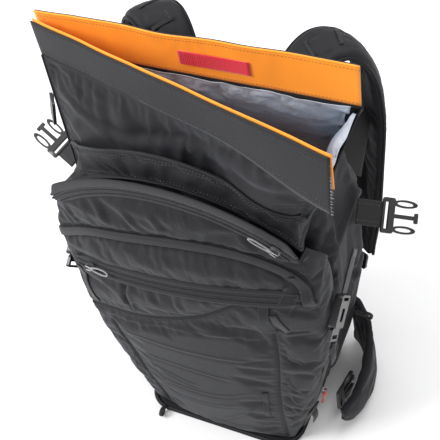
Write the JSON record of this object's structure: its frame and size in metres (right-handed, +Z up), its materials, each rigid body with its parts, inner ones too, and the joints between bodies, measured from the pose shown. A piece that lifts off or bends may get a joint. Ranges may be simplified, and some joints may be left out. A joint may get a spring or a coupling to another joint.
{
  "type": "avalanche airbag backpack",
  "caption": "Roll-top ski touring backpack with an internal airbag system, zipped front pockets, side compression straps, a shoulder harness and a hip belt.",
  "frame": {"origin": "on the floor, at the underside of the base panel, under the middle of the main bag", "axes": "+Z up the bag, -Y towards the front pockets, +Y towards the wearer, +X to the right when the front pockets are seen"},
  "size_m": [0.5006, 0.3566, 0.694],
  "materials": {
    "shell_fabric": "matte",
    "lining_fabric": "satin",
    "orange_facing": "satin",
    "hook_tape": "matte",
    "rim_fabric": "matte",
    "padding": "matte",
    "stiffener_plastic": "matte",
    "stay_aluminium": "satin",
    "zip_tape": "satin",
    "slider_metal": "satin",
    "pull_cord": "matte",
    "bright_cord": "matte",
    "webbing": "satin",
    "buckle_plastic": "satin",
    "airbag_fabric": "satin",
    "unit_aluminium": "satin",
    "cartridge_metal": "satin",
    "pin_steel": "satin",
    "cable_housing": "satin",
    "trigger_plastic": "satin"
  },
  "bodies": {
    "bag": {"main_bag": "shell_fabric", "bag_lining": "lining_fabric", "base_panel": "rim_fabric", "lower_pocket": "shell_fabric", "upper_pocket": "shell_fabric", "goggle_zip": "zip_tape", "front_zip": "zip_tape", "tool_zip": "zip_tape", "top_band": "rim_fabric", "collar_front": "shell_fabric", "collar_back": "shell_fabric", "gusset_left": "shell_fabric", "gusset_right": "shell_fabric", "back_rim_band": "rim_fabric", "back_rim_facing": "orange_facing", "hook_patch": "hook_tape", "frame_sheet": "stiffener_plastic", "frame_stays": "stay_aluminium", "back_pad": "padding", "shoulder_yoke": "webbing", "lower_webbing": "webbing", "compression_housings": "buckle_plastic", "compression_straps": "webbing", "closure_ladder": "buckle_plastic", "tool_loops": "buckle_plastic", "airbag_balloon": "airbag_fabric", "inflation_unit": "unit_aluminium", "trigger_cable": "cable_housing"},
    "front_rim": {"front_rim_band": "rim_fabric", "front_rim_stiffener": "stiffener_plastic", "front_rim_facing": "orange_facing"},
    "goggle_slider": {"goggle_slider": "slider_metal"},
    "goggle_pull": {"goggle_pull": "pull_cord"},
    "front_slider": {"front_slider": "slider_metal"},
    "front_pull": {"front_pull": "pull_cord"},
    "tool_slider": {"tool_slider": "slider_metal"},
    "tool_pull": {"tool_pull_cords": "bright_cord"},
    "shoulder_left": {"shoulder_pad_left": "padding", "shoulder_lock_left": "buckle_plastic"},
    "shoulder_right": {"shoulder_pad_right": "padding", "shoulder_lock_right": "buckle_plastic"},
    "sternum_left": {"sternum_half_left": "webbing", "sternum_male": "buckle_plastic"},
    "sternum_right": {"sternum_half_right": "webbing", "sternum_female": "buckle_plastic"},
    "haul_loop": {"haul_loop": "webbing"},
    "compression_left": {"compression_male_left": "buckle_plastic"},
    "compression_right": {"compression_male_right": "buckle_plastic"},
    "closure_left": {"closure_strap_left": "webbing", "closure_male_left": "buckle_plastic"},
    "closure_right": {"closure_strap_right": "webbing", "closure_male_right": "buckle_plastic"},
    "hip_left": {"hip_wing_left": "padding", "hip_female": "buckle_plastic"},
    "hip_right": {"hip_wing_right": "padding", "hip_male": "buckle_plastic"},
    "gas_cartridge": {"gas_cartridge": "cartridge_metal"},
    "piercing_pin": {"piercing_pin": "pin_steel"},
    "trigger": {"trigger_handle": "trigger_plastic"}
  },
  "joints": [
    {"name": "mouth_close", "type": "hinge", "parent": "bag", "child": "front_rim", "pos_m": [-0.162, -0.037, 0.664], "axis": [0, 0, 1], "range_deg": [-5, 11]},
    {"name": "goggle_zip_run", "type": "hinge", "parent": "bag", "child": "goggle_slider", "pos_m": [0, -0.10039, 0.31554], "axis": [0, -0.9972, -0.0748], "range_deg": [0, 74]},
    {"name": "goggle_pull_swing", "type": "hinge", "parent": "goggle_slider", "child": "goggle_pull", "pos_m": [0.13413, -0.12151, 0.49146], "axis": [0.6018, -0.0597, 0.7964], "range_deg": [0, 120]},
    {"name": "front_zip_run", "type": "hinge", "parent": "bag", "child": "front_slider", "pos_m": [0.02844, 0.40744, 0.20742], "axis": [-0.1484, 0.3162, 0.937], "range_deg": [0, 26]},
    {"name": "front_pull_swing", "type": "hinge", "parent": "front_slider", "child": "front_pull", "pos_m": [-0.12972, -0.1312, 0.36416], "axis": [0.1484, -0.3162, -0.937], "range_deg": [0, 120]},
    {"name": "tool_zip_run", "type": "slide", "parent": "bag", "child": "tool_slider", "axis": [0.186, 0, 0.9825], "range_m": [0, 0.18]},
    {"name": "tool_pull_swing", "type": "hinge", "parent": "tool_slider", "child": "tool_pull", "pos_m": [0.15036, -0.068, 0.09098], "axis": [0, -1, 0], "range_deg": [0, 28]},
    {"name": "shoulder_left_swing", "type": "hinge", "parent": "bag", "child": "shoulder_left", "pos_m": [0, 0.098, 0.492], "axis": [1, 0, 0], "range_deg": [-2, 22]},
    {"name": "shoulder_right_swing", "type": "hinge", "parent": "bag", "child": "shoulder_right", "pos_m": [0, 0.098, 0.492], "axis": [1, 0, 0], "range_deg": [-2, 22]},
    {"name": "sternum_left_height", "type": "slide", "parent": "shoulder_left", "child": "sternum_left", "axis": [-0.0222, 0.0444, 0.9988], "range_m": [-0.02, 0.03]},
    {"name": "sternum_right_height", "type": "slide", "parent": "shoulder_right", "child": "sternum_right", "axis": [0.0222, 0.0444, 0.9988], "range_m": [-0.02, 0.03]},
    {"name": "haul_loop_swing", "type": "hinge", "parent": "bag", "child": "haul_loop", "pos_m": [0, 0.0928, 0.487], "axis": [1, 0, 0], "range_deg": [-60, 15]},
    {"name": "compression_left_release", "type": "slide", "parent": "bag", "child": "compression_left", "axis": [0, -0.829, -0.5593], "range_m": [0, 0.036]},
    {"name": "compression_right_release", "type": "slide", "parent": "bag", "child": "compression_right", "axis": [0, -0.829, -0.5593], "range_m": [0, 0.036]},
    {"name": "closure_left_swing", "type": "hinge", "parent": "bag", "child": "closure_left", "pos_m": [-0.184, -0.02, 0.432], "axis": [-0.4164, -0.8554, -0.3081], "range_deg": [-20, 25]},
    {"name": "closure_right_swing", "type": "hinge", "parent": "bag", "child": "closure_right", "pos_m": [0.178, 0.02, 0.409], "axis": [-0.1362, 0.8181, 0.5587], "range_deg": [-20, 25]},
    {"name": "hip_left_swing", "type": "hinge", "parent": "bag", "child": "hip_left", "pos_m": [-0.143, 0.08, 0.06], "axis": [0, 0, -1], "range_deg": [0, 80]},
    {"name": "hip_right_swing", "type": "hinge", "parent": "bag", "child": "hip_right", "pos_m": [0.143, 0.08, 0.06], "axis": [0, 0, 1], "range_deg": [0, 80]},
    {"name": "cartridge_screw", "type": "hinge", "parent": "bag", "child": "gas_cartridge", "pos_m": [-0.082, 0.036, 0.29], "axis": [0, 0, 1], "continuous": true},
    {"name": "trigger_pull", "type": "slide", "parent": "shoulder_left", "child": "trigger", "axis": [-0.2693, 0.3491, -0.8976], "range_m": [0, 0.05]},
    {"name": "pin_stroke", "type": "slide", "parent": "bag", "child": "piercing_pin", "axis": [0, 0, -1], "range_m": [0, 0.006]}
  ],
  "couplings": [
    {"joint": "pin_stroke", "follows": "trigger_pull", "ratio": 0.12}
  ]
}
